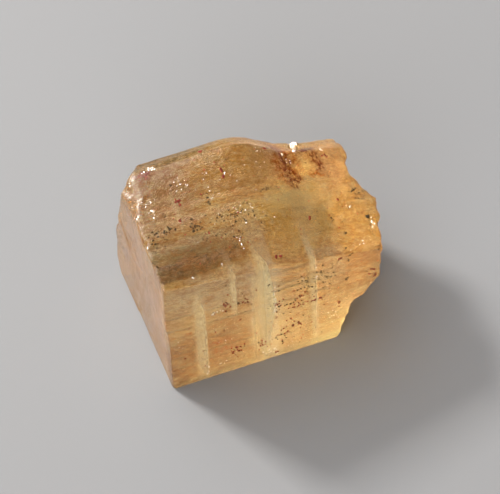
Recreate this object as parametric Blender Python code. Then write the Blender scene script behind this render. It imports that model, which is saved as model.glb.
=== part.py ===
"""Imperial topaz: one loose natural crystal, lying on a long side.

The crystal is a chunky four-sided prism whose long axis (c) lies along +X.
Its -X end is a perfect basal cleavage face, flat and square to the axis.
Its +X end is broken: flat cleavage ledges that lean back under the crystal.
The long sides carry growth lines along the axis. The top side sinks towards
+X and drops away behind, where a piece has broken off. The edges are chipped.
Lengths and places are in millimetres, and every mesh is scaled to metres.
"""
import math
import random

import bmesh
import bpy
from mathutils import Matrix, Vector, noise

MM = 0.001

# ---------------------------------------------------------------- driving sizes
STOCK_LENGTH = 17.2          # prism before its +X end is broken back
DEPTH = 11.15                # front to back at the widest
STOCK_HEIGHT = 13.5          # prism before its top side is shaped
RIDGE_HEIGHT = 10.3          # front ridge above the base, at the cleavage face
RIDGE_FALL = 0.172           # how much the front ridge drops per mm along +X
BACK_RIDGE_Y = 9.3
BACK_BEVEL_FALL = 0.55       # slope of the narrow bevel behind the back ridge
SIDE_TAPER = 0.010           # share of height the growth lines lose per mm

# Section seen along the axis, as (y, z) corners, front foot first.
FRONT_FOOT = (0.0, 0.0)
BACK_FOOT = (10.15, 0.0)
BACK_WAIST = (DEPTH, 1.40)
BACK_TOP = (10.55, STOCK_HEIGHT)
FRONT_TOP = (1.44, STOCK_HEIGHT)

# Back ridge height along the axis: level, then broken down towards the end.
BACK_RIDGE = ((0.0, 11.85), (7.6, 12.15), (9.0, 11.80), (10.2, 10.85), (11.4, 9.85),
              (12.8, 9.25), (14.8, 8.65), (16.4, 8.15))

# Growth lines: steps along each long side. A step rises to its lip, then drops.
SIDE_GROWTH_DEPTH = 0.10
BACK_STEPS = 10
FRONT_STEPS = 13
STEP_LIP = 0.30              # where the lip is, as a share of the step's width
STEP_TROUGH = 0.44
LIP_OUT = 0.25               # how far the lip stands out, as a share of the depth
TROUGH_IN = 0.75
GROWTH_WANDER = 0.08         # how far a growth line drifts along its length
WANDER_RATE = (0.28, 1.5, 1.5)  # how quickly the drift changes along x, y and z
STATIONS = 14                # cross loops along the prism
TOP_GROWTH_DEPTH = 0.06
TOP_GROWTH_RATE = (0.12, 1.6)   # how quickly the top side changes, along and across
TOP_GROWTH_STEPS = 3.0       # levels of its stepped part
TOP_STEP_SHARE = 0.6
TOP_CELLS = (26, 40)         # cells of the top side, along and across

# Broken end: reach along +X by (y, x), and what the undercut takes by (z, dx).
END_REACH = ((-1.0, 15.85), (1.0, 16.15), (2.5, 16.50), (4.9, 16.85), (6.9, 16.25),
             (8.1, 15.90), (9.2, 16.30), (12.5, 16.1))
END_UNDERCUT = ((-1.0, 3.85), (0.0, 3.60), (0.9, 3.20), (2.0, 2.90), (2.8, 2.80),
                (3.0, 2.35), (3.9, 1.45), (4.7, 0.65), (6.6, 0.40), (8.4, 0.20),
                (13.0, 0.0))
UNDERCUT_EASE = 0.45         # how much shallower the undercut is at the back
LEDGE_STEP = 0.40            # height of one cleavage ledge
LEDGE_WANDER = 0.60          # how far the break strays from its mean reach
LEDGE_RATE = 0.45            # how quickly it strays, per mm
LEDGE_TILT = 0.035
LEDGE_TURN = (2.1, 1.3)      # spreads the tilts of neighbouring ledges
LEDGE_JITTER = 0.30          # unevenness of the ledge edges, in cells
END_CELLS = (38, 36)

# Edges broken off flat: a point on the break and the way it faces.
FLAT_BREAKS = (
    ((-0.12, 9.45, 10.85), (-0.62, 0.22, 0.75)),    # top corner of the cleavage face
    ((0.0, 9.70, 8.80), (-0.66, 0.72, 0.20)),       # its upright back edge
    ((0.26, 0.0, 0.10), (-0.62, -0.62, -0.48)),     # its front foot
    ((0.0, 0.14, 3.00), (-0.70, -0.71, 0.0)),       # its upright front edge
    ((0.0, 11.00, 0.75), (-0.74, 0.50, -0.45)),     # its back foot
    ((12.30, 0.0, 0.28), (0.62, -0.55, -0.56)),     # front foot of the broken end
    ((14.90, 10.60, 3.00), (0.62, 0.76, -0.20)),    # back edge of the broken end
    ((15.60, 10.90, 7.60), (0.66, 0.60, 0.45)),
)

# Shell-shaped chips: centre, radii and turn about the axis in degrees.
SHELL_CHIPS = (
    ((0.20, 8.45, 12.20), (1.00, 1.50, 0.80), 20),      # top corner, cleavage face
    ((-0.05, 6.80, 12.00), (0.75, 1.20, 0.70), 10),
    ((1.20, 10.55, 12.35), (1.20, 0.90, 0.90), 35),
    ((-0.50, 5.10, 11.55), (0.80, 1.00, 0.60), 0),
    ((-0.55, 11.00, 6.30), (1.10, 0.90, 1.60), 0),      # upright back edge
    ((11.95, 11.45, 10.45), (0.80, 1.10, 0.90), 0),     # notch in the back edge
    ((13.15, 11.30, 9.85), (0.75, 0.85, 0.85), 25),
    ((5.10, 11.75, 12.15), (1.50, 0.95, 0.95), 40),
    ((13.60, -0.25, 2.75), (0.85, 0.75, 0.42), 0),      # notch under the overhang
    ((7.40, -0.62, -0.30), (1.00, 0.80, 0.60), 0),      # front foot
    ((6.30, 0.42, 9.85), (1.10, 0.55, 0.42), 0),        # front ridge
    ((11.20, 0.35, 8.98), (0.90, 0.55, 0.45), 0),
    ((14.20, 13.10, 2.60), (4.20, 2.60, 2.90), -10),    # back side, broken end
    ((4.90, 12.10, 0.35), (3.30, 1.75, 1.50), 12),      # back foot
    ((9.60, 11.60, -0.10), (2.00, 1.35, 0.95), 0),
    ((13.90, 8.60, -2.60), (4.30, 4.60, 3.20), 0),      # hollow under the broken end
    ((-0.90, 6.20, -1.50), (1.70, 2.30, 1.80), 0),      # hollow under the cleavage face
)

# Small shallow chips strewn along the frosted corner of the cleavage face.
CORNER_CHIPS = 11
CORNER_PATH = ((-0.25, 3.90, 11.20), (-0.20, 6.20, 11.50), (0.00, 8.60, 11.35),
               (0.35, 10.15, 10.60), (0.05, 10.45, 8.10))
CORNER_SPREAD = 0.22
CORNER_RADII = (0.42, 0.70)
CORNER_ROUNDNESS = 2         # icosphere subdivisions of a small chip
CHIP_ROUNDNESS = 3
CHIP_RIPPLE = 0.025          # shell ripples, as a share of the chip's radius
CHIP_RIPPLE_RATE = (9.0, 4.0)
CHIP_LUMP = 0.10             # unevenness of the chip, as a share of its radius
CHIP_LUMP_RATE = 1.7

# Low cleavage terraces of the -X face: a corner (y, z), edge turn, depth.
TERRACES = (
    ((4.90, 7.00), 196.0, 0.10),
    ((4.90, 7.00), 240.0, 0.06),
    ((7.80, 6.10), 20.0, 0.07),
)

TERRACE_SIZE = 20.0
CUTTER_MARGIN = 2.0          # how far the relief cutters reach past the stock

MERGE_DISTANCE = 0.008
FLAT_ANGLE = 0.4             # degrees
RESTING_BAND = 0.1           # growth lines do not disturb the base below this
RESTING_SNAP = 0.001         # the base is brought exactly level within this
TOPAZ_COLOUR = (0.70, 0.36, 0.14)
TOPAZ_ROUGHNESS = 0.12
TOPAZ_IOR = 1.62
TOPAZ_CLARITY = 0.85

COLLECTION = "imperial_topaz"
NODE = "topaz_crystal"


# ---------------------------------------------------------------- helpers
def interpolate(table, at):
    """Straight-line value of a table of (position, value) pairs."""
    if at <= table[0][0]:
        return table[0][1]
    for (a, value_a), (b, value_b) in zip(table, table[1:]):
        if at <= b:
            return value_a + (value_b - value_a) * (at - a) / (b - a)
    return table[-1][1]


def new_collection(name, hidden):
    collection = bpy.data.collections.new(name)
    collection.hide_render = hidden
    bpy.context.scene.collection.children.link(collection)
    return collection


def mesh_object(name, bm, collection):
    mesh = bpy.data.meshes.new(name)
    bm.to_mesh(mesh)
    bm.free()
    obj = bpy.data.objects.new(name, mesh)
    collection.objects.link(obj)
    return obj


def evaluated_mesh(obj):
    """The object's mesh with its modifiers, as a new mesh."""
    bpy.context.view_layer.update()
    graph = bpy.context.evaluated_depsgraph_get()
    return bpy.data.meshes.new_from_object(obj.evaluated_get(graph))


# ---------------------------------------------------------------- the prism
def stepped_side(start, end, steps, rng):
    """Points from start towards end, stepped in and out like growth lines."""
    start = Vector(start)
    end = Vector(end)
    along = end - start
    inward = Vector((-along.y, along.x)).normalized()
    points = [start]
    widths = [0.4 + rng.random() for _ in range(steps)]
    reached = 0.0
    for width in widths:
        lip = (reached + STEP_LIP * width) / sum(widths)
        trough = (reached + STEP_TROUGH * width) / sum(widths)
        depth = SIDE_GROWTH_DEPTH * (0.25 + 0.9 * rng.random() ** 2)
        points.append(start + along * lip - inward * LIP_OUT * depth)
        points.append(start + along * trough + inward * TROUGH_IN * depth)
        reached += width
    return points


def section_outline():
    """The closed section of the stock, as (y, z) points."""
    rng = random.Random(41)
    outline = [Vector(FRONT_FOOT), Vector(BACK_FOOT)]
    outline += stepped_side(BACK_WAIST, BACK_TOP, BACK_STEPS, rng)
    outline.append(Vector(BACK_TOP))
    outline += stepped_side(FRONT_TOP, FRONT_FOOT, FRONT_STEPS, rng)
    return outline


def extrude_outline(outline, name, collection):
    """A flat curve, filled and extruded along the axis, as a welded mesh."""
    curve = bpy.data.curves.new(name, "CURVE")
    curve.dimensions = "2D"
    curve.fill_mode = "BOTH"
    curve.extrude = STOCK_LENGTH * MM / 2
    spline = curve.splines.new("POLY")
    spline.points.add(len(outline) - 1)
    for point, place in zip(spline.points, outline):
        point.co = (place.x * MM, place.y * MM, 0.0, 1.0)
    spline.use_cyclic_u = True
    stock = bpy.data.objects.new(name, curve)
    collection.objects.link(stock)
    # Curve x becomes world y, curve y becomes z, and the extrusion runs along x.
    turn = Matrix(((0, 0, 1), (1, 0, 0), (0, 1, 0))).to_4x4()
    stock.matrix_world = Matrix.Translation((STOCK_LENGTH * MM / 2, 0, 0)) @ turn
    mesh = evaluated_mesh(stock)
    mesh.transform(stock.matrix_world)
    bpy.data.objects.remove(stock)
    bm = bmesh.new()
    bm.from_mesh(mesh)
    bpy.data.meshes.remove(mesh)
    bmesh.ops.remove_doubles(bm, verts=bm.verts, dist=1e-6)
    for station in range(1, STATIONS):
        everything = bm.verts[:] + bm.edges[:] + bm.faces[:]
        place = STOCK_LENGTH * MM * station / STATIONS
        bmesh.ops.bisect_plane(bm, geom=everything, dist=1e-7,
                               plane_co=(place, 0, 0), plane_no=(1, 0, 0))
    bmesh.ops.recalc_face_normals(bm, faces=bm.faces)
    return bm


def soften_prism(bm):
    """Let the growth lines close up towards +X and drift a little."""
    unrelated = Vector((0.0, 0.0, 40.0))
    for vert in bm.verts:
        if vert.co.z < RESTING_BAND * MM:
            continue
        place = vert.co * Vector(WANDER_RATE) / MM
        vert.co.y += GROWTH_WANDER * MM * noise.noise(place)
        vert.co.z *= 1.0 - SIDE_TAPER * vert.co.x / MM
        vert.co.z += GROWTH_WANDER * MM * noise.noise(place + unrelated)


# ---------------------------------------------------------------- cutters
def cut(body, cutter):
    """Take the cutter's shape out of the body."""
    cutter.display_type = "WIRE"
    cutter.hide_render = True
    modifier = body.modifiers.new("cut", "BOOLEAN")
    modifier.operation = "DIFFERENCE"
    modifier.solver = "EXACT"
    modifier.object = cutter
    shaped = evaluated_mesh(body)
    body.modifiers.remove(modifier)
    old = body.data
    body.data = shaped
    bpy.data.meshes.remove(old)


def flat_break(body, point, normal):
    """Break the body off along a plane, leaving a flat facet."""
    bm = bmesh.new()
    bm.from_mesh(body.data)
    everything = bm.verts[:] + bm.edges[:] + bm.faces[:]
    place = Vector(point) * MM
    made = bmesh.ops.bisect_plane(bm, geom=everything, dist=1e-7, plane_co=place,
                                  plane_no=Vector(normal), clear_outer=True)
    rim = [item for item in made["geom_cut"] if isinstance(item, bmesh.types.BMEdge)]
    bmesh.ops.holes_fill(bm, edges=rim, sides=0)
    bmesh.ops.triangulate(bm, faces=[face for face in bm.faces if len(face.verts) > 4])
    bmesh.ops.recalc_face_normals(bm, faces=bm.faces)
    bm.to_mesh(body.data)
    bm.free()


def relief_block(name, place, cells, lows, highs, away, jitter, collection):
    """A block with one relief side: place(a, b) gives its points, away its far side."""
    rng = random.Random(7)
    bm = bmesh.new()
    rows = []
    for j in range(cells[1] + 1):
        row = []
        for i in range(cells[0] + 1):
            inside = 0 < i < cells[0] and 0 < j < cells[1]
            shift = jitter if inside else 0.0
            a = lows[0] + (highs[0] - lows[0]) * (i + shift * rng.uniform(-1, 1)) / cells[0]
            b = lows[1] + (highs[1] - lows[1]) * (j + shift * rng.uniform(-1, 1)) / cells[1]
            row.append(bm.verts.new(place(a, b) * MM))
        rows.append(row)
    for low_row, high_row in zip(rows, rows[1:]):
        for i in range(cells[0]):
            bm.faces.new((low_row[i], high_row[i], high_row[i + 1], low_row[i + 1]))
    bmesh.ops.triangulate(bm, faces=bm.faces)
    rim = [edge for edge in bm.edges if edge.is_boundary]
    swept = bmesh.ops.extrude_edge_only(bm, edges=rim)
    axis, reach = away
    for item in swept["geom"]:
        if isinstance(item, bmesh.types.BMVert):
            item.co[axis] = reach * MM
    lid = [edge for edge in bm.edges if edge.is_boundary]
    bmesh.ops.contextual_create(bm, geom=lid)
    bmesh.ops.recalc_face_normals(bm, faces=bm.faces)
    return mesh_object(name, bm, collection)


def broken_end_point(y, z):
    """A point of the broken end: flat ledges, each tilted a little."""
    ease = 1.0 - UNDERCUT_EASE * max(y, 0.0) / DEPTH
    reach = interpolate(END_REACH, y) - interpolate(END_UNDERCUT, z) * ease
    reach += LEDGE_WANDER * noise.noise(Vector((y, z, 3.0)) * LEDGE_RATE)
    ledge = math.floor(reach / LEDGE_STEP)
    tilt = Vector((math.sin(LEDGE_TURN[0] * ledge), math.cos(LEDGE_TURN[1] * ledge))) * LEDGE_TILT
    middle = Vector((DEPTH, STOCK_HEIGHT)) / 2
    return Vector((ledge * LEDGE_STEP + tilt.dot(Vector((y, z)) - middle), y, z))


def top_side_point(x, y):
    """A point of the top side: ridge to ridge, a bevel behind, and growth lines."""
    front = RIDGE_HEIGHT - RIDGE_FALL * x
    back = interpolate(BACK_RIDGE, x)
    front_y = FRONT_TOP[0] * RIDGE_HEIGHT / STOCK_HEIGHT
    share = (y - front_y) / (BACK_RIDGE_Y - front_y)
    height = front + (back - front) * min(share, 1.0)
    height -= BACK_BEVEL_FALL * max(y - BACK_RIDGE_Y, 0.0)
    line = noise.noise(Vector((x * TOP_GROWTH_RATE[0], y * TOP_GROWTH_RATE[1], 5.0)))
    level = math.floor(TOP_GROWTH_STEPS * line) / TOP_GROWTH_STEPS
    height += TOP_GROWTH_DEPTH * (line + TOP_STEP_SHARE * level)
    return Vector((x, y, height))


def shell_cutter(name, centre, radii, turn, roundness, seed, collection):
    """A lumpy ball that leaves a shell-shaped (conchoidal) chip."""
    bm = bmesh.new()
    bmesh.ops.create_icosphere(bm, subdivisions=roundness, radius=1.0)
    for vert in bm.verts:
        phase = CHIP_RIPPLE_RATE[0] * vert.co.x + CHIP_RIPPLE_RATE[1] * vert.co.y + seed
        ripple = CHIP_RIPPLE * math.sin(phase)
        lump = CHIP_LUMP * noise.noise(vert.co * CHIP_LUMP_RATE + Vector((seed, 0, 0)))
        vert.co *= 1.0 + lump + ripple
    bm.transform(Matrix.Diagonal(Vector(radii)).to_4x4())
    bm.transform(Matrix.Rotation(math.radians(turn), 4, "X"))
    bm.transform(Matrix.Translation(Vector(centre)))
    bm.transform(Matrix.Scale(MM, 4))
    return mesh_object(name, bm, collection)


def terrace_cutter(name, corner, turn, depth, collection):
    """A wide slab whose edge draws one low step across the cleavage face."""
    bm = bmesh.new()
    bmesh.ops.create_cube(bm, size=1.0)
    bm.transform(Matrix.Translation((-0.5, 0.5, 0.5)))
    bm.transform(Matrix.Diagonal((1.0, TERRACE_SIZE, TERRACE_SIZE)).to_4x4())
    bm.transform(Matrix.Rotation(math.radians(turn), 4, "X"))
    bm.transform(Matrix.Translation((depth, *corner)))
    bm.transform(Matrix.Scale(MM, 4))
    return mesh_object(name, bm, collection)


def corner_chips():
    """Small shell chips strewn along the frosted corner, as SHELL_CHIPS rows."""
    rng = random.Random(19)
    last = len(CORNER_PATH) - 1
    chips = []
    for index in range(CORNER_CHIPS):
        along = last * (index + 0.5) / CORNER_CHIPS
        start = Vector(CORNER_PATH[int(along)])
        place = start.lerp(Vector(CORNER_PATH[int(along) + 1]), along % 1.0)
        place += Vector([CORNER_SPREAD * rng.uniform(-1, 1) for _ in range(3)])
        radii = [rng.uniform(*CORNER_RADII) for _ in range(3)]
        chips.append((place, radii, rng.uniform(0.0, 90.0)))
    return chips


def clean(body):
    """Drop specks left by the cuts and merge faces that lie in one plane."""
    bm = bmesh.new()
    bm.from_mesh(body.data)
    bmesh.ops.remove_doubles(bm, verts=bm.verts, dist=MERGE_DISTANCE * MM)
    bmesh.ops.dissolve_limit(bm, angle_limit=math.radians(FLAT_ANGLE), verts=bm.verts,
                             edges=bm.edges)
    bmesh.ops.triangulate(bm, faces=bm.faces)
    bm.to_mesh(body.data)
    bm.free()


def centre_on_base(body):
    """Put the origin under the middle of the crystal, on its resting plane."""
    bm = bmesh.new()
    bm.from_mesh(body.data)
    lows = [min(vert.co[axis] for vert in bm.verts) for axis in range(3)]
    highs = [max(vert.co[axis] for vert in bm.verts) for axis in range(3)]
    middle = Vector(((lows[0] + highs[0]) / 2, (lows[1] + highs[1]) / 2, lows[2]))
    bmesh.ops.translate(bm, verts=bm.verts, vec=-middle)
    for vert in bm.verts:
        if vert.co.z < RESTING_SNAP * MM:
            vert.co.z = 0.0
    bm.to_mesh(body.data)
    bm.free()


def topaz_material():
    """Clear honey-orange topaz."""
    material = bpy.data.materials.new("imperial_topaz")
    material.diffuse_color = (*TOPAZ_COLOUR, 1.0)
    material.use_nodes = True
    shader = material.node_tree.nodes["Principled BSDF"]
    shader.inputs["Base Color"].default_value = (*TOPAZ_COLOUR, 1.0)
    shader.inputs["Roughness"].default_value = TOPAZ_ROUGHNESS
    shader.inputs["IOR"].default_value = TOPAZ_IOR
    shader.inputs["Transmission Weight"].default_value = TOPAZ_CLARITY
    return material


# ---------------------------------------------------------------- assembly
def build():
    for obj in list(bpy.data.objects):
        bpy.data.objects.remove(obj)
    parts = new_collection(COLLECTION, hidden=False)
    cutters = new_collection("cutters", hidden=True)

    bm = extrude_outline(section_outline(), "prism_stock", cutters)
    soften_prism(bm)
    crystal = mesh_object(NODE, bm, parts)
    cut(crystal, relief_block("top_cutter", top_side_point, TOP_CELLS, (-0.6, -0.8),
                              (STOCK_LENGTH + 0.6, DEPTH + 0.8),
                              (2, STOCK_HEIGHT + CUTTER_MARGIN), 0.0, cutters))
    cut(crystal, relief_block("end_cutter", broken_end_point, END_CELLS, (-1.2, -1.0),
                              (DEPTH + 1.2, STOCK_HEIGHT),
                              (0, STOCK_LENGTH + CUTTER_MARGIN), LEDGE_JITTER, cutters))
    for point, normal in FLAT_BREAKS:
        flat_break(crystal, point, normal)
    for index, (corner, turn, depth) in enumerate(TERRACES):
        cut(crystal, terrace_cutter(f"terrace_cutter_{index + 1}", corner, turn, depth,
                                    cutters))
    for index, (centre, radii, turn) in enumerate(SHELL_CHIPS):
        cut(crystal, shell_cutter(f"shell_cutter_{index + 1}", centre, radii, turn,
                                  CHIP_ROUNDNESS, index, cutters))
    for index, (centre, radii, turn) in enumerate(corner_chips()):
        cut(crystal, shell_cutter(f"corner_cutter_{index + 1}", centre, radii, turn,
                                  CORNER_ROUNDNESS, index, cutters))
    clean(crystal)
    centre_on_base(crystal)
    crystal.data.materials.clear()
    crystal.data.materials.append(topaz_material())


build()
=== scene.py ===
import math
import random

import bmesh
import bpy
import numpy
from mathutils import Matrix, Vector, noise
from mathutils.bvhtree import BVHTree


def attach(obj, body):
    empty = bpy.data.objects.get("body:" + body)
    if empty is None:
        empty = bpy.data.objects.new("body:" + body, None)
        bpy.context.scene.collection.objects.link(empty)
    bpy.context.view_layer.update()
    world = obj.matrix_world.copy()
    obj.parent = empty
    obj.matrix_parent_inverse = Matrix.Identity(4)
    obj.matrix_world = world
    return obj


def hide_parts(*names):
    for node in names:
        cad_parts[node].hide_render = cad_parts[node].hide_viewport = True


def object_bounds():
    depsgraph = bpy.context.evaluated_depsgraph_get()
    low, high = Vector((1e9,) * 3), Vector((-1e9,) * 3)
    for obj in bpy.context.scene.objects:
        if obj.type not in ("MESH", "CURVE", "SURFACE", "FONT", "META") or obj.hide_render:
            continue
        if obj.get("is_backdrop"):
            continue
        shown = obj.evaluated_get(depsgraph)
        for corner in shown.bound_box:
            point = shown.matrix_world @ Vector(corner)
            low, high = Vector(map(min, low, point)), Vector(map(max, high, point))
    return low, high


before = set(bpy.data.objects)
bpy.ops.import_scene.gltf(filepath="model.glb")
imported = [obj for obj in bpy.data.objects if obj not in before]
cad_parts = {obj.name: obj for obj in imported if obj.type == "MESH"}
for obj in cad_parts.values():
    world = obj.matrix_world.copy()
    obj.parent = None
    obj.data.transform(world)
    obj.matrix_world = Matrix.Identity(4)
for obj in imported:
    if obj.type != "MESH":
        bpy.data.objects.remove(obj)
packed_low, packed_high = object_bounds()

# ------------------------------------------------------------------ topaz crystal
# One natural crystal of clear, honey-orange topaz, about 17 mm long. It grew as a
# striated prism, parted cleanly across its axis at one end and broke into cleavage
# ledges at the other; its corners are chipped and its front ridge is worn.
MM = 0.001                  # lengths and places below are in mm
MESH_STEP = 0.105           # spacing of the surface mesh
FOOT = 0.02                 # the skin below this height stays flat, to rest on
FOOT_FADE = 0.35            # the relief fades out down to the foot from this height
RIDGE_ENDS = (Vector((-8.3, -4.45, 10.25)), Vector((7.9, -4.55, 7.55)))
RIDGE_REACH = 0.85          # how far the worn front ridge reaches to each side
FROSTED_MIDDLE = Vector((-7.6, 1.9, 11.2))
FROSTED_REACH = (1.3, 3.4, 1.3)
SKIN_EASE = 0.12            # how strongly each round of easing rounds the skin
RIDGE_EASE = 0.60
CORNER_EASE = 0.70
BREAK_EASE = 0.52
EASE_ROUNDS = 10
STRIAE = ((0.9, 0.030), (2.1, 0.018), (4.6, 0.008))     # (lines per mm, depth)
TOP_STRIAE = 0.15           # share of their depth on the top side
TOP_GRAIN = 0.007           # height of the top side's unevenness
TERRACE = 0.016             # height of the finest steps on the cleavage face
CHIP_CELL = 0.30            # spacing of the pits on the frosted corner
CHIP_DEPTH = 0.02
END_CELL = 0.95             # width of the facets on the broken end
END_DEPTH = 0.06
SHARP_EDGE = math.radians(38)
BRIGHT_WAY = Vector((-0.41, 0.10, 0.905))      # small facets that catch the light
FACETS = (
    # centre, radius of each small facet
    ((4.45, 5.00, 8.50), 0.36), ((4.22, 4.40, 8.85), 0.34), ((4.05, 3.75, 9.25), 0.20),
    ((-6.30, 3.95, 11.75), 0.20), ((-5.97, 4.05, 11.75), 0.16), ((-7.75, 3.30, 11.45), 0.16),
    ((-7.70, 2.75, 11.30), 0.16), ((-7.45, 2.05, 11.45), 0.18), ((-7.05, 1.85, 11.40), 0.14),
    ((-7.00, 0.95, 11.25), 0.16), ((-7.95, 0.20, 11.10), 0.13), ((-5.35, 2.15, 11.50), 0.14),
    ((-4.25, 2.35, 11.60), 0.12), ((-3.10, 0.95, 11.05), 0.10), ((5.95, -1.00, 8.20), 0.13),
    ((7.15, -2.90, 7.80), 0.18), ((1.90, -0.20, 9.60), 0.10), ((-4.30, -3.00, 10.20), 0.10),
)
FRONT_IN = Vector((0.0, 0.996, -0.094))        # square to the front side, inwards
TOP_IN = Vector((0.0, 0.21, -0.98))
CRACKS = (
    # place along the axis, middle (y, z), reach (y, z), way in, strength, how far it leans
    (-5.61, (-5.2, 4.6), (4.3, 4.3), FRONT_IN, 0.70, 0.75),
    (-5.34, (0.5, 11.0), (1.7, 1.6), TOP_IN, 0.35, 0.30),
    (-3.34, (-4.7, 8.1), (2.8, 2.6), FRONT_IN, 0.75, 0.40),
    (-2.10, (-5.0, 5.0), (1.6, 4.6), FRONT_IN, 0.40, 0.30),
    (-1.35, (-5.0, 5.4), (5.0, 5.2), FRONT_IN, 0.50, 0.35),
    (-0.59, (-5.0, 5.6), (7.0, 5.8), FRONT_IN, 1.00, 1.10),
    (2.36, (-4.9, 5.6), (4.4, 5.1), FRONT_IN, 0.80, 0.45),
)

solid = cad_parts["topaz_crystal"].data.copy()
solid.transform(Matrix.Scale(1 / MM, 4))
stock = bpy.data.objects.new("crystal_stock", solid)
bpy.context.collection.objects.link(stock)
skin = stock.modifiers.new("skin", "REMESH")
skin.mode = "VOXEL"
skin.voxel_size = MESH_STEP
bpy.context.view_layer.update()
crystal_mesh = bpy.data.meshes.new_from_object(
    stock.evaluated_get(bpy.context.evaluated_depsgraph_get()))
surface = BVHTree.FromPolygons([v.co for v in solid.vertices],
                               [p.vertices[:] for p in solid.polygons])
bpy.data.objects.remove(stock)

for vert in crystal_mesh.vertices:
    vert.co = surface.find_nearest(vert.co)[0]


def step(low, high, value):
    """0 below low, 1 above high, smooth between."""
    share = min(max((value - low) / (high - low), 0.0), 1.0)
    return share * share * (3.0 - 2.0 * share)


def near_ridge(place):
    """How far a place is from the front ridge."""
    start, end = RIDGE_ENDS
    along = (place - start).dot(end - start) / (end - start).length_squared
    return (place - start.lerp(end, min(max(along, 0.0), 1.0))).length


def near_frosted(place):
    """0 in the middle of the frosted corner, 1 at its rim."""
    off_centre = place - FROSTED_MIDDLE
    return Vector([part / size for part, size in zip(off_centre, FROSTED_REACH)]).length


def wear(place):
    """How strongly the skin is eased at a place: most on ridge, corner and break."""
    if place.z < FOOT:
        return 0.0
    corner = CORNER_EASE * step(1.2, 0.7, near_frosted(place))
    ridge = RIDGE_EASE * step(RIDGE_REACH, 0.1, near_ridge(place))
    broken = BREAK_EASE * step(4.0, 6.5, place.x + 0.35 * abs(place.z - 5.0))
    return max(SKIN_EASE, ridge, corner, broken)


def ease(mesh, weights, rounds):
    """Draw each vertex towards its neighbours, by its own weight."""
    places = numpy.empty(len(mesh.vertices) * 3)
    mesh.vertices.foreach_get("co", places)
    places = places.reshape(-1, 3)
    edges = numpy.empty(len(mesh.edges) * 2, dtype=int)
    mesh.edges.foreach_get("vertices", edges)
    start, end = edges.reshape(-1, 2).T
    count = numpy.bincount(edges, minlength=len(places))[:, None]
    for _ in range(rounds):
        total = numpy.zeros_like(places)
        numpy.add.at(total, start, places[end])
        numpy.add.at(total, end, places[start])
        places += weights[:, None] * (total / count - places)
    mesh.vertices.foreach_set("co", places.ravel())
    mesh.update()


ease(crystal_mesh, numpy.array([wear(v.co) for v in crystal_mesh.vertices]), EASE_ROUNDS)


def striae(across, along):
    """Growth lines: sharp little steps side by side, which run along the axis."""
    height = 0.0
    for rate, depth in STRIAE:
        line = noise.noise(Vector((along * 0.07 * rate, across * rate, rate)))
        height += depth * math.tanh(3.0 * line)
    return height


def relief(place, normal):
    """How far the surface stands out at a place."""
    x, y, z = place
    side = step(0.55, 0.85, abs(normal.y))
    top = step(0.45, 0.80, normal.z)
    parting = step(0.80, 0.97, -normal.x) * step(-7.6, -8.1, x)
    broken = step(0.25, 0.7, normal.x) * step(2.0, 5.0, x)
    frosted = step(1.15, 0.55, near_frosted(place) + 0.25 * noise.noise(place * 1.3))
    height = side * striae(z, x)
    grain = noise.noise(place * 2.6) + 0.5 * noise.noise(place * 6.1)
    height += top * (TOP_STRIAE * striae(y, x) + TOP_GRAIN * grain)
    if parting > 0.0:
        flow = 2.6 * noise.noise(Vector((y * 0.30 + z * 0.10, z * 0.22, 9.0)))
        height += parting * TERRACE * (math.floor(flow * 3.0) - 1.0)
    if broken > 0.0:
        facet = noise.voronoi(place / END_CELL)[0][0]
        height += broken * END_DEPTH * (0.9 - 1.6 * facet + 0.5 * grain)
    if frosted > 0.0:
        pit = noise.voronoi(place / CHIP_CELL)[0]
        height += frosted * CHIP_DEPTH * (min(pit[1] - pit[0], 0.6) * 1.4 - 1.0 + 0.3 * grain)
    return height * step(0.0, FOOT_FADE, z)


spots = numpy.array([v.co + v.normal * relief(v.co, v.normal) for v in crystal_mesh.vertices])
bright = numpy.array(BRIGHT_WAY)
for centre, radius in FACETS:
    near = numpy.linalg.norm(spots - numpy.array(centre), axis=1) < radius
    if near.any():
        away = (spots[near] - spots[near].mean(axis=0)) @ bright
        spots[near] -= away[:, None] * bright
spots = numpy.clip(spots, packed_low / MM, packed_high / MM)
crystal_mesh.vertices.foreach_set("co", spots.ravel())
crystal_mesh.update()
outside = BVHTree.FromPolygons([v.co for v in crystal_mesh.vertices],
                               [p.vertices[:] for p in crystal_mesh.polygons])
crystal_mesh.transform(Matrix.Scale(MM, 4))
crystal_mesh.shade_smooth()
crystal_mesh.set_sharp_from_angle(angle=SHARP_EDGE)


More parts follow.
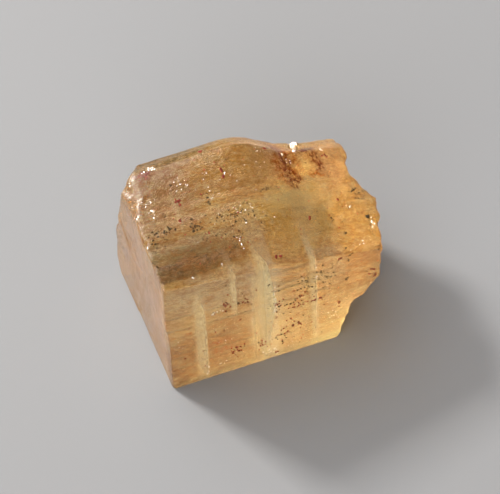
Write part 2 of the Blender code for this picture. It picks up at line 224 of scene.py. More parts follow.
class Field:
    """A shader value that takes part in ordinary arithmetic."""

    def __init__(self, tree, socket=None):
        self.tree = tree
        self.socket = socket

    def node(self, kind, settings, values, output=0):
        """A node of that kind, its settings made first, as the field of one output."""
        made = self.tree.nodes.new(kind)
        for name, value in settings.items():
            if name == "stops":
                while len(made.color_ramp.elements) < len(value):
                    made.color_ramp.elements.new(0.5)
                for element, (place, colour) in zip(made.color_ramp.elements, value):
                    element.position = place
                    element.color = (*colour, 1.0)
            else:
                setattr(made, name, value)
        for name, value in values.items():
            if isinstance(value, Field):
                self.tree.links.new(value.socket, made.inputs[name])
            else:
                made.inputs[name].default_value = value
        return Field(self.tree, made.outputs[output])

    def math(self, operation, *values):
        return self.node("ShaderNodeMath", {"operation": operation}, dict(enumerate(values)))

    def __add__(self, other):
        return self.math("ADD", self, other)

    def __sub__(self, other):
        return self.math("SUBTRACT", self, other)

    def __rsub__(self, other):
        return self.math("SUBTRACT", other, self)

    def __mul__(self, other):
        return self.math("MULTIPLY", self, other)

    __radd__ = __add__
    __rmul__ = __mul__

    def larger(self, other):
        return self.math("MAXIMUM", self, other)

    def vectors(self, operation, *others, output=0):
        """Vector Math on this field and others, for colours and places."""
        return self.node("ShaderNodeVectorMath", {"operation": operation},
                         dict(enumerate((self, *others))), output)

    def in_mm(self):
        """The place on the part, in mm."""
        return self.node("ShaderNodeTexCoord", {}, {}, "Object").scaled((1 / MM,) * 3)

    def axis(self, index):
        """This vector field's part along x, y or z."""
        return self.node("ShaderNodeSeparateXYZ", {}, {0: self}, index)

    def scaled(self, factors):
        """A vector field times factors, one for each axis."""
        return self.vectors("MULTIPLY", factors)

    def between(self, low, high):
        """0 at low, 1 at high, smooth between."""
        return self.node("ShaderNodeMapRange", {"interpolation_type": "SMOOTHSTEP"},
                         {"Value": self, "From Min": low, "From Max": high})

    def noise(self, rates, detail=2.0, roughness=0.5, output=0):
        """Noise over this vector field, with its rate per mm along each axis."""
        return self.node("ShaderNodeTexNoise", {},
                         {"Vector": self.scaled(rates), "Scale": 1.0, "Detail": detail,
                          "Roughness": roughness}, output)

    def stirred(self, rates, amount):
        """This vector field pushed about by noise, up to half the amount each way."""
        push = self.noise(rates, output="Color")
        pushed = push.vectors("MULTIPLY_ADD", (amount,) * 3, self)
        return pushed.vectors("SUBTRACT", (amount / 2,) * 3)

    def ramp(self, *stops):
        """The colours of stops, each (value, colour), over this field."""
        return self.node("ShaderNodeValToRGB", {"stops": stops}, {"Fac": self})

    def tinted(self, colour, share):
        """This colour field with a share of another colour over it."""
        return self.node("ShaderNodeMix", {"data_type": "RGBA"},
                         {"Factor": share, 6: self, 7: colour}, 2)

    def patch(self, centre, radii):
        """1 inside a soft-edged patch of this vector field and 0 outside."""
        apart = self.vectors("SUBTRACT", centre).scaled([1 / size for size in radii])
        return apart.vectors("LENGTH", output="Value").between(1.25, 0.55)

    def block(self, centre, half_sizes):
        """1 inside a box of this vector field, along the axes, and 0 outside."""
        apart = self.vectors("SUBTRACT", centre).scaled([1 / size for size in half_sizes])
        apart = apart.vectors("ABSOLUTE")
        x, y, z = (apart.axis(index) for index in range(3))
        return x.larger(y).larger(z).between(1.15, 0.80)


def new_finish(name, constants):
    """A material with those constants set on its shader, and the tree's own field."""
    material = bpy.data.materials.new(name)
    material.use_nodes = True
    shader = material.node_tree.nodes["Principled BSDF"]
    for socket, value in constants.items():
        shader.inputs[socket].default_value = value
    return material, shader, Field(material.node_tree)


def drive(shader, socket, field):
    field.tree.links.new(field.socket, shader.inputs[socket])


def add_piece(name, mesh, finish):
    """A piece of the crystal, with that finish."""
    mesh.materials.clear()
    mesh.materials.append(finish)
    piece = bpy.data.objects.new(name, mesh)
    bpy.context.collection.objects.link(piece)
    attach(piece, "root")
    return piece


TOPAZ_IOR = 1.62
CLARITY = 0.84              # share of the light that goes through the skin
DEPTH_COLOUR = (0.97, 0.68, 0.10, 1.0)         # what a long way through it leaves
DEPTH_DENSITY = 55.0        # per metre
HONEY = (0.97, 0.60, 0.12)
PEACH = (0.94, 0.62, 0.28)
STRAW = (0.98, 0.74, 0.26)
FRONT_TINT = (0.62, 0.55, 0.36, 1.0)
BACK_TINT = (0.85, 0.66, 0.30, 1.0)
# Painted shade: the parting face is coloured darker, so that it looks less lit.
PARTING_PAINTED_SHADE = (0.55, 0.30, 0.14, 1.0)
CRACKED_TINT = (1.00, 0.98, 0.72, 1.0)
BROWN_MOTTLE = (0.56, 0.27, 0.09, 1.0)
CREAM_MOTTLE = (1.00, 0.90, 0.50, 1.0)
DARK_DUST = (0.28, 0.15, 0.07, 1.0)
PALE_DUST = (1.00, 0.97, 0.86, 1.0)
PALE = (1.00, 0.97, 0.72, 1.0)                 # the skin beside a crack
PAST_ENDS = 9.0             # reaches past both ends of the crystal
RUST = (0.16, 0.016, 0.002, 1.0)
RUST_LIGHT = (0.62, 0.14, 0.008, 1.0)
STAINS_AND_SHADE = (
    # centre, radii, colour: mostly iron oxide in healed cracks under the skin, and one olive
    # band of painted shade along the back rim
    ((2.85, 2.80, 9.6), (1.30, 2.20, 1.2), RUST_LIGHT),
    ((2.70, 3.80, 9.5), (0.62, 0.85, 0.9), RUST),
    ((2.85, 2.60, 9.5), (0.80, 1.05, 0.9), RUST),
    ((3.10, 1.50, 9.3), (0.60, 0.90, 0.9), RUST),
    ((4.55, 3.75, 9.1), (0.85, 0.38, 0.9), RUST),
    ((5.25, 3.15, 8.9), (0.44, 0.85, 0.9), RUST),
    ((5.40, 2.30, 8.8), (0.48, 0.85, 0.9), RUST),
    ((4.85, 1.75, 8.9), (0.55, 0.26, 0.9), RUST_LIGHT),
    # An olive band of painted shade along the back rim, which makes the rim look less lit.
    ((-4.60, 4.90, 11.4), (3.20, 1.30, 1.4), (0.34, 0.24, 0.08, 1.0)),      # olive back edge
    ((-6.75, 3.55, 11.8), (0.70, 0.36, 0.6), (0.46, 0.06, 0.04, 1.0)),      # red corner
    ((-1.60, -5.30, 2.4), (0.16, 0.6, 0.42), RUST_LIGHT),
    ((-6.85, -5.10, 5.2), (0.18, 0.6, 0.30), RUST_LIGHT),
    ((-4.60, -5.30, 3.4), (1.20, 0.6, 0.12), (0.50, 0.14, 0.05, 1.0)),
    ((-4.30, -5.40, 2.5), (1.40, 0.6, 0.12), (0.50, 0.14, 0.05, 1.0)),
)
CLOUDS = (
    # centre, radii, colour, strength: soft clouds of colour in the crystal; one pale cloud on
    # the top is partly a painted pool of light
    ((-6.2, 1.2, 11.2), (3.0, 3.9, 1.8), (0.46, 0.25, 0.13, 1.0), 0.85),    # peach corner
    ((-1.2, 2.9, 11.8), (3.4, 1.6, 1.8), (1.00, 0.60, 0.12, 1.0), 0.85),    # orange crown
    ((1.6, 2.4, 10.6), (1.5, 2.4, 2.0), (1.00, 0.80, 0.42, 1.0), 0.85),
    # Pale cloud on the top: partly its own pale tone, partly a painted pool of light where
    # the top is short of light.
    ((2.4, -0.4, 9.6), (2.4, 2.0, 1.6), (1.00, 0.84, 0.40, 1.0), 0.95),
    ((5.6, -2.2, 8.2), (2.6, 2.4, 2.2), (1.00, 0.68, 0.18, 1.0), 0.85),     # orange end
    ((5.6, -4.7, 6.2), (1.7, 1.0, 1.8), (0.70, 0.36, 0.11, 1.0), 0.80),
    ((-4.4, -4.7, 8.6), (4.2, 1.0, 2.2), (0.98, 0.96, 0.74, 1.0), 0.85),    # pale green
    ((-1.5, -4.7, 6.8), (1.3, 1.5, 5.0), (1.00, 1.00, 0.88, 1.0), 0.85),
    ((-6.9, -5.2, 2.2), (3.0, 1.0, 3.2), (0.15, 0.065, 0.03, 1.0), 0.95),    # red-brown foot
    ((-3.6, -5.3, 2.2), (2.6, 0.9, 2.8), (0.26, 0.14, 0.08, 1.0), 0.88),
    ((3.6, -5.4, 1.1), (2.2, 1.2, 1.9), (0.92, 0.96, 0.50, 1.0), 0.88),     # pale corner
    ((6.3, 2.6, 8.7), (1.5, 1.8, 1.2), (0.74, 0.48, 0.33, 1.0), 0.75),
    ((4.5, 2.7, 9.0), (0.35, 0.5, 0.6), (0.56, 0.50, 0.14, 1.0), 0.70),
    ((-5.0, -3.0, 10.1), (3.8, 1.2, 1.1), (0.20, 0.12, 0.035, 1.0), 0.95),   # brown smoke
)
BLOCKS = (
    # centre, half sizes, colour, strength: zones with straight growth and parting edges
    ((-7.0, -2.2, 10.6), (1.6, 0.45, 1.5), (0.52, 0.56, 0.34, 1.0), 0.65),  # grey-green
    ((-3.9, -1.9, 10.2), (1.5, 0.75, 1.5), (0.62, 0.62, 0.36, 1.0), 0.50),
    ((-7.1, -3.5, 10.3), (1.3, 0.60, 1.2), (0.12, 0.07, 0.02, 1.0), 0.90),  # brown smoke
    ((-4.9, -3.3, 10.0), (0.75, 0.65, 1.2), (0.14, 0.08, 0.02, 1.0), 0.82),
    ((0.9, -1.6, 9.6), (1.15, 1.2, 1.6), (1.00, 0.64, 0.14, 1.0), 0.85),    # amber block
    ((3.4, -4.6, 7.4), (1.05, 0.9, 1.9), (0.80, 0.76, 0.56, 1.0), 0.70),    # grey block
)
topaz, shader, field = new_finish("topaz_finish", {
    "IOR": TOPAZ_IOR, "Transmission Weight": CLARITY})
place = field.in_mm()
wander = place.stirred((0.55, 0.9, 0.9), 1.4)
body = place.noise((0.22, 0.35, 0.35)).ramp((0.36, HONEY), (0.50, PEACH), (0.62, STRAW))
front = wander.patch((0.0, -5.6, 4.4), (12.0, 1.5, 6.6))
back = wander.patch((0.0, 6.0, 5.0), (12.0, 1.6, 6.0))
parting = wander.patch((-8.7, 0.0, 4.5), (1.0, 8.0, 9.0))
body = body.tinted(FRONT_TINT, 0.85 * front)
body = body.tinted(BACK_TINT, 0.80 * back)
# The parting face gets a darker colour, as painted shade.
body = body.tinted(PARTING_PAINTED_SHADE, 0.88 * parting)
for centre, radii, colour, strength in CLOUDS:
    body = body.tinted(colour, strength * wander.patch(centre, radii))
wobble = place.tinted(wander, 0.25)
for centre, half_sizes, colour, strength in BLOCKS:
    body = body.tinted(colour, strength * wobble.block(centre, half_sizes))
cracked = wander.patch((-1.2, -4.9, 4.4), (1.3, 1.4, 6.5))
body = body.tinted(CRACKED_TINT, 0.65 * cracked)
along, height = place.axis(0), place.axis(2)
# Brown mottling mostly stays off the base, the clear middle of the top and the cracked
# band, and pale mottling is weaker in the smoke and at the red-brown foot.
brown = (height.between(0.3, 1.2) * (1.0 - 0.5 * parting)
         * (1.0 - 0.7 * wander.patch((2.6, -0.8, 9.3), (3.2, 3.0, 2.0)))
         * (1.0 - 0.85 * cracked))
pale = (1.0 - 0.7 * wander.patch((-5.4, -3.1, 10.1), (3.8, 1.4, 1.4))
        - 0.5 * wander.patch((-6.0, -5.2, 2.2), (4.0, 1.0, 3.2)))
for rates, strength in (((0.15, 4.5, 4.5), 0.25 + 0.45 * front), ((1.2, 2.0, 2.0), 0.50),
                        ((4.0, 5.0, 5.0), 0.60), ((2.5, 11.0, 11.0), 0.70)):
    mottle = place.noise(rates, 4.0, 0.65)
    body = body.tinted(BROWN_MOTTLE, strength * brown * mottle.between(0.51, 0.61))
    body = body.tinted(CREAM_MOTTLE, strength * pale * mottle.between(0.47, 0.38))
dust = place.noise((9.0, 11.0, 11.0), 3.0, 0.6)
body = body.tinted(DARK_DUST, (0.80 - 0.50 * cracked) * dust.between(0.62, 0.70))
body = body.tinted(PALE_DUST, 0.90 * pale * dust.between(0.37, 0.30))
ragged = place.stirred((3.2, 3.2, 3.2), 1.1)
streak = place.noise((5.0, 3.0, 3.0), 4.0, 0.7).between(0.56, 0.44)
# Stains, and the band of painted shade on the back rim.
for centre, radii, colour in STAINS_AND_SHADE:
    body = body.tinted(colour, (0.25 + 0.75 * streak) * ragged.patch(centre, radii))
feather = place.noise((0.8, 2.6, 1.1), 3.0, 0.6).between(0.28, 0.46)
below_top = 1.0 - 0.5 * height.between(8.6, 9.4)
for x, middle, reach, _, strength, lean in CRACKS:
    beside = along.between(x - 1.3 * lean, x - 0.7 * lean) * along.between(x + 0.08, x)
    inside = place.patch((x, *middle), (PAST_ENDS, *reach))
    body = body.tinted(PALE, 0.95 * strength * feather * beside * inside * below_top)
drive(shader, "Base Color", body)
frost = wander.patch((-7.4, 2.6, 11.1), (1.2, 3.0, 1.4))
haze = place.noise((0.5, 0.8, 0.8), 3.0, 0.6).between(0.35, 0.75)
drive(shader, "Roughness", 0.08 + 0.14 * haze + 0.18 * frost)
uneven = place.noise((0.7, 1.1, 1.1), 2.0, 0.5).between(0.48, 0.62)
fine = (0.4 + 1.4 * front - 0.3 * parting) * place.noise((1.1, 9.0, 9.0), 4.0, 0.6)
fine = fine + (0.3 + 0.5 * uneven - 0.3 * parting) * place.noise((12.0,) * 3, 2.0, 0.6)
fine = fine + 0.9 * frost * place.noise((6.0,) * 3, 2.0, 0.6)
drive(shader, "Normal", place.node(
    "ShaderNodeBump", {}, {"Strength": 0.8, "Distance": 0.05 * MM, "Height": fine}))
drive(topaz.node_tree.nodes["Material Output"], "Volume", field.node(
    "ShaderNodeVolumeAbsorption", {}, {"Color": DEPTH_COLOUR, "Density": DEPTH_DENSITY}))
crystal = add_piece("crystal", crystal_mesh, topaz)
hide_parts("topaz_crystal")

# ------------------------------------------------------------------ mineral grains
# Grains of dark iron oxide and red-brown clay, caught in the skin of the crystal and
# just under it as it grew. They lie in loose swarms and rows, flattened along the faces.
SWARMS = {
    # x, across (y on top, z in front), spread along and across, grains, size, red share
    "top": (
        (-5.2, 2.4, 0.05, 0.05, 2, 0.07, 0), (-3.25, 0.7, 0.10, 0.30, 8, 0.065, 0),
        (-6.9, -0.6, 0.80, 0.16, 20, 0.065, 0), (-6.4, 0.4, 0.05, 0.05, 2, 0.07, 0),
        (-4.7, -0.8, 0.22, 0.32, 12, 0.08, 0), (-8.0, -1.6, 0.20, 0.45, 7, 0.07, 0),
        (-4.4, -1.9, 0.20, 0.15, 4, 0.06, 0), (0.8, 0.6, 0.40, 0.10, 14, 0.055, 0),
        (-2.0, -1.0, 0.80, 0.95, 80, 0.055, 0.1), (4.65, -1.75, 0.08, 0.20, 4, 0.06, 0),
        (7.1, -2.1, 0.04, 0.04, 2, 0.15, 0), (7.0, -0.4, 0.25, 0.40, 12, 0.065, 0),
        (5.2, -3.0, 0.15, 0.05, 3, 0.07, 0), (6.85, -4.3, 0.08, 0.25, 4, 0.06, 0),
        (-2.55, 4.1, 0.05, 0.15, 4, 0.09, 1), (-1.7, 2.2, 0.05, 0.16, 5, 0.10, 1),
        (-5.15, 1.1, 0.16, 0.14, 7, 0.09, 1), (-3.5, 1.2, 0.10, 0.10, 4, 0.05, 1),
        (-5.6, -0.6, 0.08, 0.50, 7, 0.07, 1), (-2.8, 2.7, 0.05, 0.05, 1, 0.06, 1),
        (-4.0, -1.4, 0.05, 0.05, 2, 0.07, 1), (1.9, 3.6, 0.05, 0.05, 2, 0.07, 1),
        (6.05, 3.1, 0.10, 0.30, 5, 0.07, 1), (5.5, -0.4, 0.05, 0.05, 2, 0.08, 1),
        (3.1, -1.5, 0.05, 0.05, 2, 0.09, 1), (-0.1, -3.9, 0.18, 0.06, 5, 0.10, 1),
        (5.75, 0.2, 0.05, 0.05, 1, 0.06, 0), (0.1, -1.2, 0.05, 0.05, 1, 0.06, 0),
        (-6.9, -1.3, 0.50, 0.30, 9, 0.045, 0), (5.0, -0.8, 1.20, 1.20, 12, 0.04, 0.6),
    ),
    "front": (
        (-1.1, 7.5, 0.04, 0.04, 2, 0.07, 0), (4.5, 5.5, 0.05, 0.05, 2, 0.07, 0),
        (6.0, 5.6, 0.05, 0.05, 1, 0.06, 0), (0.2, 4.9, 0.30, 0.06, 7, 0.07, 0),
        (-0.6, 1.8, 0.25, 0.20, 8, 0.065, 0), (-1.9, 2.0, 0.04, 0.04, 1, 0.07, 0),
        (-5.7, 2.2, 0.04, 0.04, 1, 0.06, 0), (-2.8, 5.6, 0.04, 0.04, 1, 0.07, 0),
        (-3.2, 6.6, 0.05, 0.05, 2, 0.07, 0), (-4.0, 8.6, 0.04, 0.04, 1, 0.06, 0),
        (-2.9, 7.5, 0.04, 0.04, 1, 0.06, 0), (0.1, 6.5, 0.40, 0.05, 5, 0.05, 0),
        (2.9, 6.2, 0.45, 0.75, 46, 0.055, 0), (1.5, 6.4, 0.35, 0.45, 28, 0.05, 0),
        (4.7, 7.6, 0.12, 0.30, 8, 0.06, 0), (4.1, 7.7, 0.08, 0.06, 5, 0.08, 1),
        (6.4, 5.6, 0.25, 0.45, 14, 0.065, 0.8), (3.9, 3.5, 0.05, 0.30, 5, 0.07, 1),
        (2.2, 4.4, 0.28, 0.10, 12, 0.075, 1), (1.2, 5.3, 0.22, 0.14, 12, 0.065, 1),
        (-0.6, 5.4, 0.20, 0.25, 8, 0.06, 1), (0.9, 4.5, 0.30, 0.16, 14, 0.06, 1),
        (0.4, 4.9, 1.30, 0.40, 30, 0.045, 0.6), (0.7, 2.9, 0.35, 0.35, 12, 0.065, 1),
        (0.0, 2.2, 0.12, 0.12, 5, 0.07, 1), (-0.65, 0.45, 0.25, 0.05, 6, 0.06, 1),
        (-1.6, 1.7, 0.20, 0.35, 12, 0.065, 1), (-3.55, 2.1, 0.28, 0.22, 14, 0.07, 1),
        (-3.1, 4.9, 0.05, 0.05, 2, 0.07, 1), (-4.1, 6.9, 0.22, 0.24, 14, 0.07, 1),
        (-2.75, 6.5, 0.28, 0.22, 11, 0.06, 1), (-0.8, 6.8, 0.05, 0.05, 2, 0.06, 1),
        (0.7, 6.0, 0.05, 0.05, 2, 0.06, 1), (0.4, 2.8, 1.20, 1.00, 34, 0.045, 0.7),
    ),
}
STRAYS = 220
STRAY_SIZES = (0.03, 0.07)
PROUD = 0.12                # how far a grain's middle stands out of the skin, by its size
DARK_GRAIN = (0.07, 0.045, 0.018)
RED_GRAIN = (0.24, 0.040, 0.022)
FAR = 20.0                  # a place well outside the crystal
rng = random.Random(5)


def skin_at(x, across, seen_from):
    """The skin's place and normal at x and y seen from the top, x and z from the front."""
    if seen_from == "top":
        found = outside.ray_cast(Vector((x, across, FAR)), Vector((0, 0, -1)))
    else:
        found = outside.ray_cast(Vector((x, -FAR, across)), Vector((0, 1, 0)))
    return found[0], found[1]


def any_turn(way):
    """A turn that lays a flat shape square to a way, at random about it."""
    return way.to_track_quat("Z", "X").to_matrix() @ Matrix.Rotation(
        rng.uniform(0.0, math.pi), 3, "Z")


def add_grain(bm, middle, normal, size):
    """One lumpy grain, flattened against the skin and a little longer one way."""
    made = bmesh.ops.create_icosphere(bm, subdivisions=1, radius=1.0)
    turn = any_turn(normal)
    shape = Vector((size * rng.uniform(0.9, 1.2), size * rng.uniform(0.6, 1.0), size * 0.4))
    for vert in made["verts"]:
        lump = 1.0 + 0.30 * noise.noise(vert.co * 1.6 + middle * 9.0)
        vert.co = middle + turn @ (vert.co * shape * lump)


def mesh_in_metres(name, bm):
    mesh = bpy.data.meshes.new(name)
    bm.to_mesh(mesh)
    bm.free()
    mesh.transform(Matrix.Scale(MM, 4))
    return mesh


grains = {"dark": bmesh.new(), "red": bmesh.new()}
for seen_from, swarms in SWARMS.items():
    for x, across, wide, high, count, typical, red in swarms:
        for _ in range(count):
            middle = (x + wide * rng.gauss(0.0, 1.0), across + high * rng.gauss(0.0, 1.0))
            skin_place, normal = skin_at(*middle, seen_from)
            size = typical * rng.uniform(0.75, 1.4)
            tint = "red" if rng.random() < red else "dark"
            if skin_place is not None:
                add_grain(grains[tint], skin_place + normal * PROUD * size, normal, size)
for _ in range(STRAYS):
    seen_from, lowest, highest = rng.choice((("top", -3.8, 3.6), ("front", 1.0, 7.5)))
    skin_place, normal = skin_at(rng.uniform(-7.5, 7.0), rng.uniform(lowest, highest),
                                 seen_from)
    size = rng.uniform(*STRAY_SIZES)
    tint = "red" if rng.random() < 0.6 else "dark"
    if skin_place is not None:
        depth = max(-PROUD * size, rng.uniform(-0.9, 0.9))
        add_grain(grains[tint], skin_place - normal * depth, normal, size)
for tint, colour in (("dark", DARK_GRAIN), ("red", RED_GRAIN)):
    finish, shader, field = new_finish(f"{tint}_grains_finish", {
        "Roughness": 0.7, "Specular IOR Level": 0.2})
    shade = [0.4 * part for part in colour]
    drive(shader, "Base Color",
          field.in_mm().noise((9.0, 9.0, 9.0)).ramp((0.35, shade), (0.65, colour)))
    name = f"{tint}_grains"
    add_piece(name, mesh_in_metres(name, grains[tint]), finish)

# ------------------------------------------------------------------ cleavage veils
# Fine cracks inside the crystal, square to its axis like the cleavage face, that curve
# a little as they run in from the skin. Each holds a thin, feathery film of trapped
# air, which shows whitish.
VEIL_RAYS = 40
VEIL_LAYERS = 18
VEIL_SPREAD = math.radians(178.0)
VEIL_INSET = 0.03           # how far the film stays off the skin
VEIL_BEND = 1.2             # depth over which a crack curves away from the skin
VEIL_WAVER = ((0.9, 0.05), (3.0, 0.02))        # (rate per mm, height)
VEIL_SHADE = (0.92, 0.78, 0.42)
VEIL_WHITE = (1.0, 0.97, 0.76)


def veil_mesh(name, x, middle, reach, way_in, lean):
    """A fan of rays from the skin into the crystal, up to the crack's own front."""
    bm = bmesh.new()
    start = outside.find_nearest(Vector((x, *middle)))[0] + way_in * 2.0 * VEIL_INSET
    rows = []
    for ray in range(VEIL_RAYS + 1):
        turn = VEIL_SPREAD * (ray / VEIL_RAYS - 0.5)
        way = Matrix.Rotation(turn, 3, "X") @ way_in
        far = 1.0 / math.hypot(way.y / reach[0], way.z / reach[1])
        far *= 1.0 + 0.2 * noise.noise(way * 2.5 + start)
        hit = outside.ray_cast(start, way, far + VEIL_INSET)
        if hit[0] is not None:
            far = max(hit[3] - VEIL_INSET, 0.01)
        row = []
        for layer in range(VEIL_LAYERS + 1):
            spot = start + way * far * (0.004 + 0.996 * layer / VEIL_LAYERS)
            deep = (spot - start).dot(way_in)
            spot.x = x - lean * (1.0 - math.exp(-deep / VEIL_BEND))
            spot.x += sum(height * noise.noise(spot * rate) for rate, height in VEIL_WAVER)
            row.append(bm.verts.new(spot))
        rows.append(row)
    for row, following in zip(rows, rows[1:]):
        for i in range(VEIL_LAYERS):
            bm.faces.new((row[i], following[i], following[i + 1], row[i + 1]))
    mesh = mesh_in_metres(name, bm)
    mesh.shade_smooth()
    return mesh


for number, (x, middle, reach, way_in, strength, lean) in enumerate(CRACKS, 1):
    name = f"cleavage_veil_{number}"
    mesh = veil_mesh(name, x, middle, reach, way_in, lean)
    finish, shader, field = new_finish(f"veil_finish_{number}", {"Roughness": 0.5})
    place = field.in_mm()
    cloud = place.noise((2.0, 4.5, 4.5), 5.0, 0.8)
    drive(shader, "Base Color", cloud.ramp((0.40, VEIL_SHADE), (0.52, VEIL_WHITE)))
    feather = place.noise((1.0, 2.6, 0.8), 5.0, 0.7).between(0.26, 0.44)
    seen = place.patch((x, middle[0], middle[1] - 0.5),
                       (PAST_ENDS, 0.5 * reach[0], 1.15 * reach[1]))
    fibres = place.noise((1.5, 7.0, 3.0), 4.0, 0.7).between(0.40, 0.56)
    drive(shader, "Alpha", strength * feather * seen * (0.5 + 0.5 * fibres))
    add_piece(name, mesh, finish)

# ------------------------------------------------------------------ bright flakes
# Tiny chips and cleavage steps in the skin, a few tenths of a millimetre across at
# most, which flash where they face the light. They were left by knocks and by growth.
# Their whitish colour is partly a painted glint; the flash itself is real reflection off
# their faces.
FLAKES = {
    # x, across (y on top, z in front), spread along and across, flakes, size
    "top": (
        (-6.2, 3.9, 0.30, 0.12, 9, 0.10), (-7.8, 3.3, 0.20, 0.30, 9, 0.07),
        (-7.1, 1.8, 0.35, 0.30, 8, 0.06), (-4.8, 2.4, 0.25, 0.45, 9, 0.07),
        (-4.2, 2.0, 0.15, 0.20, 3, 0.06), (-7.2, 0.8, 0.20, 0.40, 6, 0.08),
        (-8.1, 0.6, 0.15, 0.70, 5, 0.05), (-1.6, 2.1, 0.05, 0.05, 2, 0.09),
        (-2.0, 1.8, 0.05, 0.05, 1, 0.06), (-2.9, 2.1, 0.10, 0.50, 4, 0.06),
        (-1.4, -0.6, 0.25, 0.50, 7, 0.07), (-2.2, -2.4, 0.15, 0.35, 7, 0.08),
        (-0.7, -0.4, 0.10, 0.20, 2, 0.06), (1.3, 3.4, 0.25, 0.25, 5, 0.06),
        (0.7, -1.3, 0.10, 0.10, 1, 0.06), (3.2, 3.1, 0.20, 0.40, 7, 0.07),
        (6.0, 3.6, 0.15, 0.20, 5, 0.07), (6.2, -1.2, 0.10, 0.35, 3, 0.08),
        (7.2, -2.7, 0.12, 0.40, 6, 0.09), (5.9, -4.0, 0.15, 0.10, 3, 0.07),
        (5.0, -4.4, 0.10, 0.05, 1, 0.08), (-6.1, -4.1, 0.15, 0.10, 3, 0.09),
        (-4.0, -3.7, 0.10, 0.10, 2, 0.07), (-0.5, 0.6, 3.50, 2.20, 30, 0.045),
    ),
    "front": (
        (-0.72, 5.6, 0.08, 1.6, 14, 0.13), (-1.10, 0.9, 0.35, 0.25, 9, 0.15),
        (-5.75, 1.0, 0.12, 0.5, 6, 0.13), (2.30, 6.8, 0.05, 0.8, 5, 0.11),
        (-4.8, 6.4, 0.28, 0.10, 9, 0.13), (-7.6, 4.2, 0.25, 0.70, 6, 0.07),
        (-4.6, 1.1, 0.20, 0.10, 4, 0.08), (-4.3, 3.3, 0.25, 0.15, 5, 0.07),
        (1.4, 7.0, 0.10, 0.10, 2, 0.08), (-1.3, 5.2, 0.35, 1.20, 12, 0.07),
        (-1.3, 1.8, 0.30, 0.90, 12, 0.08), (0.8, 0.9, 0.80, 0.40, 8, 0.06),
        (3.4, 2.5, 0.35, 0.50, 10, 0.08), (0.0, 4.2, 3.00, 1.80, 26, 0.045),
    ),
}
FLAKE_SIDES = 7
FLAKE_THICKNESS = 0.012
FLAKE_RISE = 0.01           # how far a flake's middle stands out of the skin
FLAKE_TILT = 0.04           # how much they turn away from the common way
FLAKE_PAINTED_GLINT = (1.0, 0.96, 0.88, 1.0)


def add_flake(bm, middle, size, leaning):
    """One thin, ragged flake, longer one way, kept inside the crystal's box."""
    turn = any_turn(leaning)
    made = bmesh.ops.create_cone(bm, cap_ends=True, segments=FLAKE_SIDES, radius1=1.0,
                                 radius2=0.9, depth=1.0)
    for vert in made["verts"]:
        x, y, z = vert.co
        jag = 1.0 + 0.35 * noise.noise(Vector((x, y, 0.0)) + middle * 9.0)
        vert.co = middle + turn @ Vector((size * jag * x, 0.6 * size * jag * y,
                                          FLAKE_THICKNESS * z))
        vert.co = numpy.clip(vert.co, packed_low / MM, packed_high / MM)


bm = bmesh.new()
for seen_from, groups in FLAKES.items():
    for x, across, wide, high, count, typical in groups:
        for _ in range(count):
            skin_place, normal = skin_at(x + wide * rng.gauss(0.0, 0.7),
                                         across + high * rng.gauss(0.0, 0.7), seen_from)
            size = typical * rng.uniform(0.4, 0.9)
            leaning = BRIGHT_WAY + Vector([rng.gauss(0.0, FLAKE_TILT) for _ in range(3)])
            if skin_place is not None:
                add_flake(bm, skin_place + normal * FLAKE_RISE, size, leaning)
# Painted glint: each flake is coloured a partly see-through white.
finish, shader, field = new_finish("flake_finish", {
    "Base Color": FLAKE_PAINTED_GLINT, "IOR": TOPAZ_IOR, "Alpha": 0.35})
drive(shader, "Roughness", 0.10 + 0.20 * field.in_mm().noise((6.0, 6.0, 6.0)))
add_piece("bright_flakes", mesh_in_metres("bright_flakes", bm), finish)

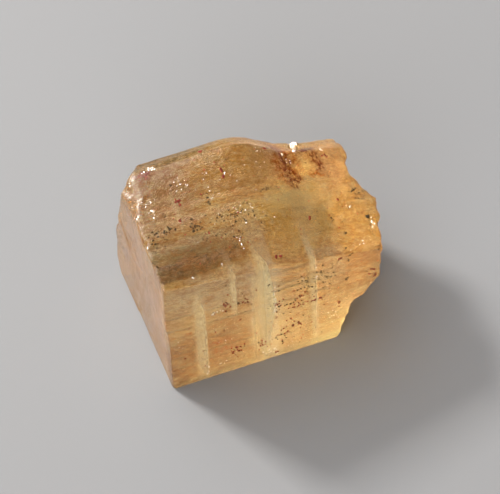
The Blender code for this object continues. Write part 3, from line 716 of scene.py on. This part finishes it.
# ------------------------------------------------------------------ stage
# A plain pale floor, soft light from above and behind and from the front left, a
# window that glints in the facets, and the camera. Places and sizes are in metres.
HALF_FLOOR = 0.6
AIR_GAP = 0.04 * MM         # the crystal touches the floor at a few points only
FLOOR_GREY = (0.225, 0.232, 0.245, 1.0)
floor_mesh = bpy.data.meshes.new("floor")
floor_mesh.from_pydata([(x * HALF_FLOOR, y * HALF_FLOOR, -AIR_GAP) for x, y in
                        ((-1, -1), (1, -1), (1, 1), (-1, 1))], [], [(0, 1, 2, 3)])
floor = bpy.data.objects.new("floor", floor_mesh)
bpy.context.collection.objects.link(floor)
floor_finish, _, _ = new_finish("floor_finish", {
    "Base Color": FLOOR_GREY, "Roughness": 0.75})
floor_mesh.materials.append(floor_finish)
floor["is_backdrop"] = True

ABOVE_FROM = Vector((-0.34, 0.55, 0.76)).normalized()
LEFT_FROM = Vector((-0.64, -0.72, 0.27)).normalized()
ROOM = (1.0, 0.80, 0.62, 1.0)
WHITE = (1.0, 0.99, 0.98, 1.0)
world = bpy.data.worlds.new("studio")
world.use_nodes = True
sky = Field(world.node_tree)
sky_way = sky.node("ShaderNodeTexCoord", {}, {}, "Generated")
facing, leftward, upward = (sky_way.vectors("DOT_PRODUCT", way, output="Value")
                            for way in (ABOVE_FROM, LEFT_FROM, (0.0, 0.0, 1.0)))
softbox = facing.between(0.65, 0.95)
side_light = leftward.between(0.75, 0.95)
room = sky.node("ShaderNodeRGB", {}, {})
room.socket.default_value = ROOM
backdrop = world.node_tree.nodes["Background"]
drive(backdrop, "Color", room.tinted(WHITE, softbox.larger(side_light)))
drive(backdrop, "Strength",
      0.03 + 0.07 * upward.between(-0.1, 1.0) + 2.7 * softbox + 4.6 * side_light)
bpy.context.scene.world = world
bpy.context.scene.view_settings.view_transform = "Standard"

AIM = Vector((-0.410, 0.413, 4.796)) * MM


def aimed(name, data, place):
    """A lamp or camera at a place, turned to the crystal."""
    made = bpy.data.objects.new(name, data)
    made.location = place
    made.rotation_euler = (AIM - made.location).to_track_quat("-Z", "Y").to_euler()
    bpy.context.collection.objects.link(made)
    return made


window = bpy.data.lights.new("window", "AREA")
window.shape = "SQUARE"
window.size = 0.07
window.energy = 2.2
window.color = (1.0, 0.96, 0.90)
aimed("window", window, Vector((-0.42, 0.70, 0.58)) * 0.40)

lens = bpy.data.cameras.new("camera")
lens.sensor_width = 36.0
lens.lens = 187.2
lens.clip_start = 0.01
lens.clip_end = 5.0
bpy.context.scene.camera = aimed("camera", lens, Vector((-37.65, -96.61, 147.83)) * MM)

low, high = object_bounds()
